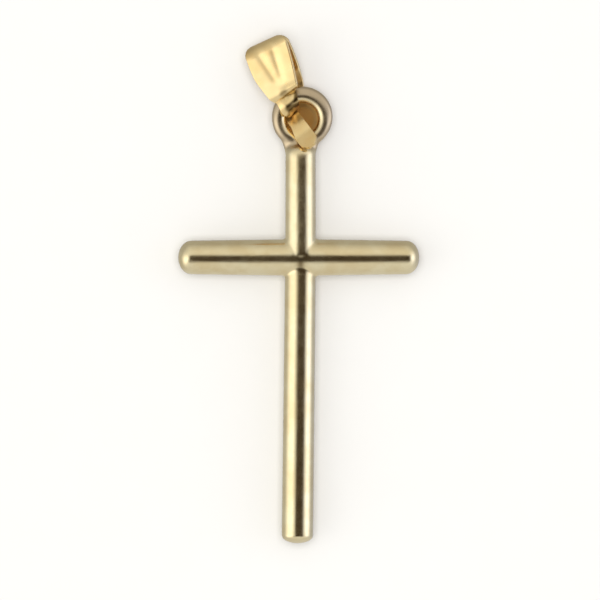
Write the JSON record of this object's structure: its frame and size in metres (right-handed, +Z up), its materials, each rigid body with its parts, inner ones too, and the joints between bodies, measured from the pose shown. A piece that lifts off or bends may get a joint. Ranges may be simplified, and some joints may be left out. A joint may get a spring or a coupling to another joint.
{
  "type": "cross pendant with a bail",
  "caption": "Slim round-bar Latin cross pendant with an eye ring on top and a fluted, folded sheet bail hooked through it, lying on its back.",
  "frame": {"origin": "on the surface that the pendant lies on, under the middle of its whole outline", "axes": "+X along the arms to the right, +Y up the stem towards the bail, +Z up from the surface, out of the pendant's front"},
  "size_m": [0.017, 0.0358, 0.0031],
  "materials": {
    "cross_gold": "polished pale yellow gold with a soft satin wear",
    "bail_gold": "polished yellow gold sheet, a little richer than the cross"
  },
  "bodies": {
    "root": {"cross": "cross_gold", "bail": "bail_gold"}
  },
  "joints": []
}
